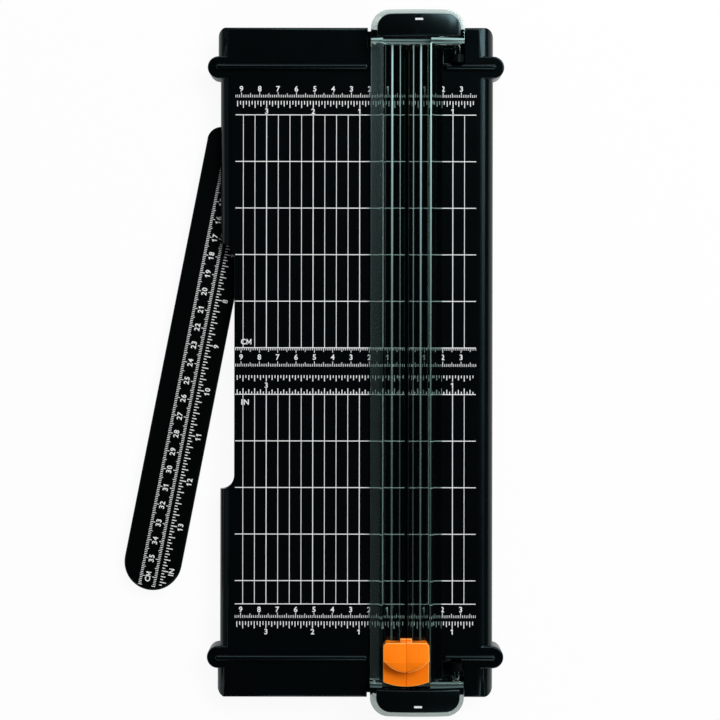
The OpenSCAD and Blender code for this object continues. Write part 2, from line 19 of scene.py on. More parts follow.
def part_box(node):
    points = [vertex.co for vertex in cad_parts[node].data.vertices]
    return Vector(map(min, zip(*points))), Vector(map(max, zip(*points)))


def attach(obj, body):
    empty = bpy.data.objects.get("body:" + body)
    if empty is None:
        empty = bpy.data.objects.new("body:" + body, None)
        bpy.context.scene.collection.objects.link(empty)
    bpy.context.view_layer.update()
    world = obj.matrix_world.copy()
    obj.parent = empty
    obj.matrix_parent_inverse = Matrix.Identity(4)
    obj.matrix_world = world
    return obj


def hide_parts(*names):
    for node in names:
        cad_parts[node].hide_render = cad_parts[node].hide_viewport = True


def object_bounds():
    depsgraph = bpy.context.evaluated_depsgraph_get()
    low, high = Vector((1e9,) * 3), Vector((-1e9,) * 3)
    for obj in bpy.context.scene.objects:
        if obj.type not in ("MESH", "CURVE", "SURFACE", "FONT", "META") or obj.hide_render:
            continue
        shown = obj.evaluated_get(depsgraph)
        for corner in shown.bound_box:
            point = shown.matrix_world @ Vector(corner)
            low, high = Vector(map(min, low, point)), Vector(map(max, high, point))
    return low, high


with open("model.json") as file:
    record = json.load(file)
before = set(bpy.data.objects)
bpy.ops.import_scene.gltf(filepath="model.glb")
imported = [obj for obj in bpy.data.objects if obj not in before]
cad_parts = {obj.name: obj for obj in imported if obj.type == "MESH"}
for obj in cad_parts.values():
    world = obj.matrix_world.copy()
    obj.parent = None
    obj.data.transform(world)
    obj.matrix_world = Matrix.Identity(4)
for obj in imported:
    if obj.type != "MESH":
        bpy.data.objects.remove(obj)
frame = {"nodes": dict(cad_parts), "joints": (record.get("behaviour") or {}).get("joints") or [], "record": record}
CAD_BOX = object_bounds()

LOG = logging.getLogger("paper_trimmer")
IMAGE_PX = 720

MM = 0.001
CM = 10.0
INCH = 25.4
# Where the blade cuts, in metres.
CUT_X = sum(corner.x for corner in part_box("blade")) / 2

# Limits of a softened copy: points this near are one, faces within this angle are one,
# thinner slivers go, sharper edges are rounded, a face with such a normal is level, and
# faces this near the cut line are the carriage's seam.
MERGE_M = 2e-6
FLAT_DEG = 0.5
SLIVER = 0.06
CREASE_DEG = 30.0
LEVEL_NORMAL = 0.99999
SEAM_HALF = 0.5
BEVEL_STEPS = 3

# The value that noise drifts around, and how fine a grain is.
NOISE_MIDDLE = 0.5
GRAIN_DETAIL = 3.0

Triple = tuple[float, float, float]
Colour = Triple
# A word, the u and v of its middle, and the pitch of its marks.
Label = tuple[str, float, float, float]


class Signal:
    """A node's value that takes part in Python sums; each operator adds a Math node."""

    def __init__(self, tree: bpy.types.NodeTree, socket: bpy.types.NodeSocket) -> None:
        """Keeps the tree and the socket that gives the value."""
        self.tree = tree
        self.socket = socket

    def math(self, operation: str, first: Any, second: Any) -> "Signal":
        """Adds one Math node.

        Args:
            operation: the node's operation.
            first: its first value, a Signal or a number.
            second: its second value, a Signal or a number.

        Returns:
            The node's result.
        """
        node = self.tree.nodes.new("ShaderNodeMath")
        node.operation = operation
        for socket, value in zip(node.inputs, (first, second)):
            if isinstance(value, Signal):
                self.tree.links.new(value.socket, socket)
            else:
                socket.default_value = value
        return Signal(self.tree, node.outputs[0])

    def __add__(self, other: Any) -> "Signal":
        """Gives self + other."""
        return self.math("ADD", self, other)

    def __radd__(self, other: Any) -> "Signal":
        """Gives other + self."""
        return self.math("ADD", other, self)

    def __sub__(self, other: Any) -> "Signal":
        """Gives self - other."""
        return self.math("SUBTRACT", self, other)

    def __rsub__(self, other: Any) -> "Signal":
        """Gives other - self."""
        return self.math("SUBTRACT", other, self)

    def __mul__(self, other: Any) -> "Signal":
        """Gives self * other."""
        return self.math("MULTIPLY", self, other)

    def __rmul__(self, other: Any) -> "Signal":
        """Gives other * self."""
        return self.math("MULTIPLY", other, self)

    def __mod__(self, other: Any) -> "Signal":
        """Gives the remainder of self / other, which is never negative."""
        return self.math("FLOORED_MODULO", self, other)

    def __lt__(self, other: Any) -> "Signal":
        """Gives 1 where self < other, and 0 elsewhere."""
        return self.math("LESS_THAN", self, other)

    def __abs__(self) -> "Signal":
        """Gives self without its sign."""
        return self.math("ABSOLUTE", self, 0.0)

    def maximum(self, other: Any) -> "Signal":
        """Gives the larger of self and other."""
        return self.math("MAXIMUM", self, other)

    def minimum(self, other: Any) -> "Signal":
        """Gives the smaller of self and other."""
        return self.math("MINIMUM", self, other)


class Graph:
    """A node tree that is filled from the script."""

    # Sockets of a Mix node that mixes colours.
    MIX_FACTOR, MIX_LOW, MIX_HIGH = 0, 6, 7
    MIX_RESULT = 2

    def __init__(self, tree: bpy.types.NodeTree) -> None:
        """Empties the tree."""
        self.tree = tree
        tree.nodes.clear()

    def node(
        self,
        kind: str,
        settings: dict[str, Any] | None = None,
        sockets: dict[Any, Any] | None = None,
    ) -> bpy.types.Node:
        """Adds a node.

        Args:
            kind: the node's type.
            settings: its own settings, which are set first.
            sockets: values or links of its inputs, by name or by number.

        Returns:
            The new node.
        """
        node = self.tree.nodes.new(kind)
        for key, value in (settings or {}).items():
            setattr(node, key, value)
        for key, value in (sockets or {}).items():
            socket = node.inputs[key]
            if isinstance(value, Signal):
                self.tree.links.new(value.socket, socket)
            elif isinstance(value, bpy.types.NodeSocket):
                self.tree.links.new(value, socket)
            else:
                socket.default_value = value
        return node

    def signal(self, node: bpy.types.Node, output: Any = 0) -> Signal:
        """Gives a node's output as a value for sums."""
        return Signal(self.tree, node.outputs[output])

    def object_point(self, stretch: Triple) -> bpy.types.NodeSocket:
        """Gives Object coordinates, stretched along each axis.

        Args:
            stretch: the factor of each axis.

        Returns:
            The stretched point.
        """
        place = self.node("ShaderNodeTexCoord").outputs["Object"]
        mapping = self.node("ShaderNodeMapping", None, {"Vector": place, "Scale": stretch})
        return mapping.outputs["Vector"]

    def axes(self) -> tuple[Signal, Signal, Signal]:
        """Splits Object coordinates.

        Returns:
            X, Y and Z, in metres.
        """
        place = self.node("ShaderNodeTexCoord").outputs["Object"]
        parts = self.node("ShaderNodeSeparateXYZ", None, {"Vector": place})
        return tuple(self.signal(parts, axis) for axis in range(3))

    def noise(self, point: bpy.types.NodeSocket, size_mm: float, detail: float = 2.0) -> Signal:
        """Gives noise from 0 to 1 whose patches have the given size."""
        sockets = {"Vector": point, "Scale": 1.0 / (size_mm * MM), "Detail": detail}
        return self.signal(self.node("ShaderNodeTexNoise", None, sockets), "Fac")

    def tinted(self, factor: Signal, low: Colour, high: Colour) -> bpy.types.NodeSocket:
        """Mixes two colours.

        Args:
            factor: how much of the second shows.
            low: the colour at 0.
            high: the colour at 1.

        Returns:
            The mixed colour.
        """
        sockets = {
            self.MIX_FACTOR: factor,
            self.MIX_LOW: (*low, 1.0),
            self.MIX_HIGH: (*high, 1.0),
        }
        mix = self.node("ShaderNodeMix", {"data_type": "RGBA"}, sockets)
        return mix.outputs[self.MIX_RESULT]

    def diffuse(self, colour: Colour) -> bpy.types.Node:
        """Adds a matt surface."""
        return self.node("ShaderNodeBsdfDiffuse", None, {"Color": (*colour, 1.0)})

    def blended(self, share: Any, first: bpy.types.Node, second: bpy.types.Node) -> bpy.types.Node:
        """Mixes the surfaces of two nodes by the second one's share, a Signal or a socket."""
        sockets = {0: share, 1: first.outputs[0], 2: second.outputs[0]}
        return self.node("ShaderNodeMixShader", None, sockets)


@dataclass(frozen=True)
class Finish:
    """A finish with a colour that drifts a little, an uneven gloss and a fine grain."""

    name: str
    colour: Colour
    roughness: float
    metallic: float = 0.0
    specular: float = 0.5
    sheen_tint: Colour = (1.0, 1.0, 1.0)
    drift: float = 0.1
    gloss_drift: float = 0.06
    patch_mm: float = 14.0
    grain_mm: float = 0.35
    relief_mm: float = 0.004
    stretch: Triple = (1.0, 1.0, 1.0)

    def shade(self, factor: float) -> Colour:
        """Gives the colour times a factor."""
        return tuple(min(1.0, part * factor) for part in self.colour)

    def principled(self, graph: Graph) -> bpy.types.Node:
        """Adds the shader of this finish.

        Args:
            graph: the material's graph.

        Returns:
            The Principled node.
        """
        point = graph.object_point(self.stretch)
        patch = graph.noise(point, self.patch_mm)
        grain = graph.noise(point, self.grain_mm, GRAIN_DETAIL)
        relief = {"Strength": 1.0, "Distance": self.relief_mm * MM, "Height": grain}
        bump = graph.node("ShaderNodeBump", None, relief)
        low, high = self.shade(1.0 - self.drift), self.shade(1.0 + self.drift)
        return graph.node(
            "ShaderNodeBsdfPrincipled",
            None,
            {
                "Base Color": graph.tinted(patch, low, high),
                "Metallic": self.metallic,
                "Roughness": self.roughness + self.gloss_drift * (patch - NOISE_MIDDLE),
                "Specular IOR Level": self.specular,
                "Specular Tint": (*self.sheen_tint, 1.0),
                "Normal": bump.outputs["Normal"],
            },
        )

    def surface(self, graph: Graph) -> bpy.types.NodeSocket:
        """Gives the finished surface of the material."""
        return self.principled(graph).outputs["BSDF"]

    def material(self) -> bpy.types.Material:
        """Makes the material of this finish, or finds the one that was made before.

        Returns:
            The material, under the finish's name.
        """
        known = bpy.data.materials.get(self.name)
        if known:
            return known
        material = bpy.data.materials.new(self.name)
        material.use_nodes = True
        material.diffuse_color = (*self.colour, 1.0)
        graph = Graph(material.node_tree)
        graph.node("ShaderNodeOutputMaterial", None, {"Surface": self.surface(graph)})
        return material


@dataclass(frozen=True)
class Scuff:
    """A painted highlight on a clear moulding, as ranges from the cut line, and how strong it is.

    The painted highlight fades from the rear towards the front, where its least share is left.
    """

    x: tuple[float, float]
    y: tuple[float, float]
    z: tuple[float, float]
    worn: float
    least: float = 0.1

    def amount(self, axes: tuple[Signal, Signal, Signal], fade: Signal) -> Signal:
        """Gives the painted highlight at a point, which is 0 outside the ranges.

        Args:
            axes: the point, from the cut line.
            fade: 1 at the rear and 0 at the front.

        Returns:
            The painted highlight's strength, from 0 to 1.
        """
        total = self.worn * (self.least + (1.0 - self.least) * fade)
        for axis, (low, high) in zip(axes, (self.x, self.y, self.z)):
            total = total * (abs(axis - (low + high) / 2 * MM) < (high - low) / 2 * MM)
        return total


@dataclass(frozen=True)
class ClearPlastic(Finish):
    """A clear moulding that lets lamp light through, with painted highlights on its edges in a pale matt colour.
    """

    ior: float = 1.49
    shadow: Colour = (0.36, 0.42, 0.405)
    # Near black that reflected rays see on the track, painted in place of its reflections.
    inside: Colour = (0.006, 0.012, 0.011)
    track_half: float = 172.5
    # The pale matt colour of the painted highlights, and the Y span in mm over which they fade from the rear to
    # the front.
    scuff_colour: Colour = (0.6, 0.92, 0.89)
    scuff_fade: tuple[float, float] = (-175.0, 150.0)
    scuffs: tuple[Scuff, ...] = ()

    def worn(self, graph: Graph) -> Signal:
        """Adds up the painted highlights.

        Args:
            graph: the material's graph.

        Returns:
            How much painted highlight the surface shows, from 0 to 1.
        """
        x, y, z = graph.axes()
        front, rear = self.scuff_fade
        share = ((y - front * MM) * (1.0 / ((rear - front) * MM))).maximum(0.0).minimum(1.0)
        fade = share * share * share
        total: Any = 0.0
        for glint in self.scuffs:
            total = total + glint.amount((x - CUT_X, y, z), fade)
        return total.minimum(1.0)

    def surface(self, graph: Graph) -> bpy.types.NodeSocket:
        """Gives refraction to what is seen, a tint to shadows, near black painted on the track for reflected rays,
        and the painted highlights.

        Args:
            graph: the material's graph.

        Returns:
            The finished surface.
        """
        clear = self.principled(graph)
        clear.inputs["Transmission Weight"].default_value = 1.0
        clear.inputs["IOR"].default_value = self.ior
        through = graph.node("ShaderNodeBsdfTransparent", None, {"Color": (*self.shadow, 1.0)})
        path = graph.node("ShaderNodeLightPath")
        moulding = graph.blended(path.outputs["Is Shadow Ray"], clear, through)
        on_track = abs(graph.axes()[1]) < self.track_half * MM
        mirrored = graph.signal(path, "Is Glossy Ray") * graph.signal(path, "Is Reflection Ray")
        # Reflected rays that meet the track see painted near black instead of its reflections.
        seen = graph.blended(mirrored * on_track, moulding, graph.diffuse(self.inside))
        # Painted highlights: a pale matt colour laid over the rib crowns, wall tops, lips, flanges and ledges.
        worn = graph.blended(self.worn(graph), seen, graph.diffuse(self.scuff_colour))
        return worn.outputs["Shader"]


COOL = (0.55, 0.9, 1.0)
AMBER = (1.0, 0.6, 0.2)
BASE_BLACK = Finish(
    "base_satin_black",
    (0.0009, 0.0016, 0.0018),
    0.2,
    specular=0.26,
    sheen_tint=COOL,
    relief_mm=0.002,
)
ARM_BLACK = Finish(
    "arm_satin_black",
    (0.0009, 0.0015, 0.0013),
    0.28,
    specular=0.12,
    sheen_tint=COOL,
    relief_mm=0.002,
)
BLOCK_BLACK = Finish(
    "block_moulded_black", (0.0012, 0.0015, 0.0016), 0.4, specular=0.08, sheen_tint=COOL
)
CAP_BLACK = Finish(
    "cap_smooth_black",
    (0.0009, 0.0015, 0.0016),
    0.21,
    specular=0.45,
    sheen_tint=COOL,
    relief_mm=0.001,
)
FOOT_RUBBER = Finish("foot_soft_rubber", (0.028, 0.029, 0.03), 0.75, relief_mm=0.02, grain_mm=0.8)
ORANGE = Finish(
    "carriage_satin_orange",
    (0.98, 0.205, 0.006),
    0.45,
    specular=0.12,
    sheen_tint=AMBER,
    drift=0.03,
    gloss_drift=0.04,
    relief_mm=0.003,
)
# Painted highlight: a lighter orange laid on the carriage's rounded edges, where light would catch them.
ORANGE_PAINTED_HIGHLIGHT = Finish(
    "carriage_painted_edge_highlight",
    (1.0, 0.48, 0.12),
    0.5,
    specular=0.03,
    sheen_tint=AMBER,
    drift=0.08,
    patch_mm=4.0,
)
# Ranges of the rail's painted highlights: Y of its track, Z of the ribs, wall tops, lips and
# flanges along it, then X and Z of the ledges in the end housings.
ALONG = (-172.8, 172.8)
CROWN = (18.2, 19.2)
WALL_TOP = (22.6, 23.4)
LIP = (20.0, 21.0)
FLANGE = (16.0, 19.6)
ACROSS = (-19.4, 31.0)
LEDGE = (20.5, 26.0)
CLEAR = ClearPlastic(
    "rail_clear_plastic",
    (0.66, 0.77, 0.74),
    0.008,
    sheen_tint=(0.7, 1.0, 0.97),
    drift=0.01,
    gloss_drift=0.01,
    relief_mm=0.0,
    patch_mm=30.0,
    # Painted highlights along the track's edges, then painted bands on the ledges of the two end housings.
    scuffs=(
        Scuff((-19.5, -18.9), ALONG, FLANGE, 0.2),
        Scuff((-18.9, -14.5), ALONG, FLANGE, 0.085),
        Scuff((-14.4, -12.7), ALONG, WALL_TOP, 0.05),
        Scuff((-11.7, -11.2), ALONG, LIP, 0.06),
        Scuff((-8.5, -7.6), ALONG, CROWN, 0.95),
        Scuff((-7.5, -7.2), ALONG, CROWN, 0.6),
        Scuff((-3.7, -3.2), ALONG, CROWN, 0.35),
        Scuff((3.5, 4.0), ALONG, CROWN, 0.4),
        Scuff((7.1, 8.1), ALONG, CROWN, 0.95),
        Scuff((8.1, 8.5), ALONG, CROWN, 0.25),
        Scuff((11.2, 11.7), ALONG, LIP, 0.15),
        Scuff((12.6, 13.4), ALONG, WALL_TOP, 0.95, 0.05),
        Scuff(ACROSS, (172.6, 173.2), LEDGE, 0.7),
        Scuff(ACROSS, (173.2, 174.2), LEDGE, 0.15),
        Scuff(ACROSS, (174.2, 175.2), LEDGE, 0.6),
        Scuff(ACROSS, (-173.2, -172.6), LEDGE, 0.2, 1.0),
        Scuff(ACROSS, (-174.2, -173.2), LEDGE, 0.04, 1.0),
        Scuff(ACROSS, (-175.2, -174.2), LEDGE, 0.12, 1.0),
    ),
)
BLADE_STEEL = Finish(
    "blade_ground_steel", (0.7, 0.71, 0.72), 0.26, metallic=1.0, stretch=(1.0, 1.0, 12.0)
)
SCREW_STEEL = Finish("screw_zinc_plate", (0.55, 0.56, 0.57), 0.34, metallic=1.0, patch_mm=3.0)
WIRE_STEEL = Finish(
    "wire_drawn_steel", (0.62, 0.63, 0.64), 0.3, metallic=1.0, stretch=(8.0, 1.0, 8.0)
)
ANCHOR_STEEL = Finish("anchor_black_steel", (0.05, 0.05, 0.052), 0.4, metallic=1.0, patch_mm=2.0)
ACETAL = Finish("bush_natural_acetal", (0.72, 0.69, 0.6), 0.5, drift=0.04)
PRINT_WHITE = Finish(
    "print_white_ink", (0.78, 0.8, 0.8), 0.55, drift=0.05, patch_mm=2.5, relief_mm=0.002
)


def body_of(node: str) -> str:
    """Gives the name of the body that carries a CAD node."""
    bodies = frame["record"]["behaviour"]["bodies"]
    return next(body for body, members in bodies.items() if node in members)


def slot_of(node: str) -> str:
    """Gives the name of the record's finish slot of a CAD node."""
    parts = frame["record"]["subparts"]
    return next(part["material_slot"] for part in parts if part["node"] == node)


def baked(source: bpy.types.Object) -> bpy.types.Mesh:
    """Turns an object with its modifiers into one plain mesh, and removes the object.

    Args:
        source: an object that is linked to the scene.

    Returns:
        The finished mesh.
    """
    bpy.context.view_layer.update()
    graph = bpy.context.evaluated_depsgraph_get()
    mesh = bpy.data.meshes.new_from_object(source.evaluated_get(graph), depsgraph=graph)
    bpy.data.objects.remove(source)
    return mesh


def linked(name: str, data: bpy.types.ID | None) -> bpy.types.Object:
    """Makes an object at the origin and links it to the scene.

    Args:
        name: the object's name.
        data: what it shows.

    Returns:
        The new object.
    """
    piece = bpy.data.objects.new(name, data)
    bpy.context.scene.collection.objects.link(piece)
    return piece


def dress(node: str, finish: Finish) -> None:
    """Dresses a CAD node, whose solid is kept.

    Args:
        node: the CAD node.
        finish: its finish.
    """
    piece = frame["nodes"][node]
    piece.data.materials.clear()
    piece.data.materials.append(finish.material())
    LOG.info("%s keeps its solid, in %s", node, finish.name)


@dataclass(frozen=True)
class Rounding:
    """How wide the edges of a CAD node's copy are rounded.

    Attributes:
        radius: the width of the rounding.
        rim: its width on a rim.
        rim_above: edges that lie all above this height are a rim.
        shortest: edges shorter than this stay sharp. The others then keep
            their full width, which tiny edges would narrow.
        fillet_above: inner corners under this height stay sharp, which
            leaves the room where another body moves as it is.
    """

    radius: float
    rim: float = 0.0
    rim_above: float = math.inf
    shortest: float = 0.0
    fillet_above: float = -math.inf

    def widest(self) -> float:
        """Gives the larger of the two widths."""
        return max(self.radius, self.rim)

    def share(self, edge: bmesh.types.BMEdge) -> float:
        """Measures how wide an edge is rounded.

        Args:
            edge: an edge of the copy.

        Returns:
            Its share of the widest rounding, which is 0 where it stays sharp.
        """
        low = min(point.co.z for point in edge.verts)
        blunt = edge.calc_face_angle(0.0) <= math.radians(CREASE_DEG)
        short = edge.calc_length() < self.shortest * MM
        kept_corner = low < self.fillet_above * MM and not edge.is_convex
        if blunt or short or kept_corner:
            return 0.0
        return (self.rim if low > self.rim_above * MM else self.radius) / self.widest()


def softened(
    node: str,
    finish: Finish,
    rounding: Rounding,
    edge_highlight: Finish | None = None,
    reshape: Callable[[bmesh.types.BMesh], None] | None = None,
) -> None:
    """Stands a copy of a CAD node with rounded edges in its place, on the node's body.

    Args:
        node: the CAD node.
        finish: the copy's finish.
        rounding: how wide its edges are rounded.
        edge_highlight: a lighter finish painted on the rounded edges as a highlight, where there is one.
        reshape: changes the copy's form before its edges are rounded.
    """
    mesh = frame["nodes"][node].data.copy()
    form = bmesh.new()
    form.from_mesh(mesh)
    bmesh.ops.remove_doubles(form, verts=form.verts, dist=MERGE_M)
    flat = math.radians(FLAT_DEG)
    bmesh.ops.dissolve_limit(form, angle_limit=flat, verts=form.verts, edges=form.edges)
    if rounding.shortest:
        bmesh.ops.dissolve_degenerate(form, dist=SLIVER * MM, edges=form.edges)
    if reshape:
        reshape(form)
    share = form.edges.layers.float.new("bevel_weight_edge")
    for edge in form.edges:
        edge[share] = rounding.share(edge)
    form.to_mesh(mesh)
    form.free()
    mesh.materials.clear()
    for look in (finish, edge_highlight or finish):
        mesh.materials.append(look.material())
    source = linked(f"{node}_source", mesh)
    bevel = source.modifiers.new("edges", "BEVEL")
    bevel.width = rounding.widest() * MM
    bevel.segments = BEVEL_STEPS
    bevel.limit_method = "WEIGHT"
    # The rounding's new faces take the painted highlight's material, where there is one.
    bevel.material = 1 if edge_highlight else 0
    bevel.use_clamp_overlap = not rounding.shortest
    soft = baked(source)
    bpy.data.meshes.remove(mesh)
    if not edge_highlight:
        soft.materials.pop()
    soft.set_sharp_from_angle(angle=math.radians(CREASE_DEG))
    for face in soft.polygons:
        # A level face is shaded flat, because the rounded edges would bend its normals.
        face.use_smooth = face.normal.z < LEVEL_NORMAL
        # The seam keeps the plain finish, without the painted edge highlight.
        if abs(face.center.x - CUT_X) < SEAM_HALF * MM:
            face.material_index = 0
    piece = linked(f"{node}_look", soft)
    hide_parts(node)
    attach(piece, body_of(node))
    LOG.info("%s stands for %s, in %s", piece.name, node, finish.name)


class Side(Enum):
    """The side of its base line that a row of ticks is on."""

    UP = 1
    DOWN = -1


class Layer(Enum):
    """How far each kind of print lies above the first, so that no two faces coincide."""

    LEVEL = 0.0
    UPRIGHT = 0.004
    TICK = 0.008
    WORD = 0.012


@dataclass(frozen=True)
class Scale:
    """A ruler's division: its pitch, and how often a tick is longer."""

    pitch: float
    middle_every: int
    long_every: int


MILLIMETRES = Scale(1.0, 5, 10)
SIXTEENTHS = Scale(INCH / 16, 2, 4)
ONE_MARK = Scale(1.0, 1, 1)


class TickTree:
    """Geometry Nodes that stand ticks of three lengths along a line."""

    INPUTS = (
        ("Count", "NodeSocketInt"),
        ("First", "NodeSocketInt"),
        ("Pitch", "NodeSocketFloat"),
        ("Width", "NodeSocketFloat"),
        ("Height", "NodeSocketFloat"),
        ("Short", "NodeSocketFloat"),
        ("Middle", "NodeSocketFloat"),
        ("Long", "NodeSocketFloat"),
        ("Middle Every", "NodeSocketInt"),
        ("Long Every", "NodeSocketInt"),
        ("Side", "NodeSocketFloat"),
        ("Ink", "NodeSocketMaterial"),
    )
    # Half of the unit cube that a tick is, and half a step of the count.
    HALF = 0.5

    def __init__(self) -> None:
        """Builds the tree with its inputs."""
        self.tree = bpy.data.node_groups.new("tick_row", "GeometryNodeTree")
        self.names: dict[str, str] = {}
        sockets = self.tree.interface
        for name, kind in self.INPUTS:
            socket = sockets.new_socket(name, in_out="INPUT", socket_type=kind)
            self.names[name] = socket.identifier
        sockets.new_socket("Geometry", in_out="OUTPUT", socket_type="NodeSocketGeometry")
        self.fill(Graph(self.tree))

    def fill(self, graph: Graph) -> None:
        """Adds the nodes, which end in Realize Instances and Set Material.

        Args:
            graph: the tree's graph.
        """
        given = graph.node("NodeGroupInput")

        def value(name: str) -> Signal:
            """Gives one of the tree's inputs."""
            return graph.signal(given, name)

        count = graph.signal(graph.node("GeometryNodeInputIndex")) + value("First")
        step = graph.node("ShaderNodeCombineXYZ", None, {"X": value("Pitch")})
        start = graph.node("ShaderNodeCombineXYZ", None, {"X": value("Pitch") * value("First")})
        # One point for each tick, from the first one's place.
        line = graph.node(
            "GeometryNodeMeshLine",
            {"mode": "OFFSET"},
            {
                "Count": value("Count"),
                "Start Location": start.outputs[0],
                "Offset": step.outputs[0],
            },
        )
        on_middle = (count % value("Middle Every")) < self.HALF
        on_long = (count % value("Long Every")) < self.HALF
        longer = on_middle * (value("Middle") - value("Short")) + value("Short")
        length = longer + on_long * (value("Long") - longer)
        rise = graph.node(
            "ShaderNodeCombineXYZ", None, {"Y": self.HALF * value("Side"), "Z": self.HALF}
        )
        tick = graph.node("GeometryNodeMeshCube", None, {"Size": (1.0, 1.0, 1.0)})
        stood = graph.node(
            "GeometryNodeTransform",
            None,
            {"Geometry": tick.outputs["Mesh"], "Translation": rise.outputs[0]},
        )
        size = graph.node(
            "ShaderNodeCombineXYZ", None, {"X": value("Width"), "Y": length, "Z": value("Height")}
        )
        row = graph.node(
            "GeometryNodeInstanceOnPoints",
            None,
            {
                "Points": line.outputs["Mesh"],
                "Instance": stood.outputs["Geometry"],
                "Scale": size.outputs[0],
            },
        )
        instances = {"Geometry": row.outputs["Instances"]}
        real = graph.node("GeometryNodeRealizeInstances", None, instances)
        inked = graph.node(
            "GeometryNodeSetMaterial",
            None,
            {"Geometry": real.outputs["Geometry"], "Material": given.outputs["Ink"]},
        )
        graph.node("NodeGroupOutput", None, {"Geometry": inked.outputs["Geometry"]})

    def mesh(self, values: dict[str, Any]) -> bpy.types.Mesh:
        """Makes one row.

        Args:
            values: the tree's inputs by name, with lengths in metres.

        Returns:
            The row as a plain mesh, along X from its zero.
        """
        source = linked("tick_source", bpy.data.meshes.new("tick_source"))
        modifier = source.modifiers.new("ticks", "NODES")
        modifier.node_group = self.tree
        for name, value in values.items():
            modifier[self.names[name]] = value
        return baked(source)


# A capital's share of the built-in face's size, how much its strokes are thickened, the
# steps of a curve, and the distance between figures as a share of their height.
CAPITAL_SHARE = 0.72
BOLD = 0.022
CURVE_STEPS = 3
FIGURE_PITCH = 0.8
# Points of a print that are this near are one.
PRINT_MERGE_M = 1e-7
# Marks that differ from the built-in face, as outlines of height 1 around their middle.
OUTLINES: dict[str, tuple[tuple[float, float], ...]] = {
    "1": (
        *((-0.1, -0.5), (0.1, -0.5), (0.1, 0.5), (-0.05, 0.5)),
        *((-0.3, 0.3), (-0.3, 0.1), (-0.1, 0.18)),
    ),
    "M": (
        *((-0.46, -0.5), (-0.28, -0.5), (-0.28, 0.12), (0.0, -0.42), (0.28, 0.12), (0.28, -0.5)),
        *((0.46, -0.5), (0.46, 0.5), (0.28, 0.5), (0.0, -0.06), (-0.28, 0.5), (-0.46, 0.5)),
    ),
}


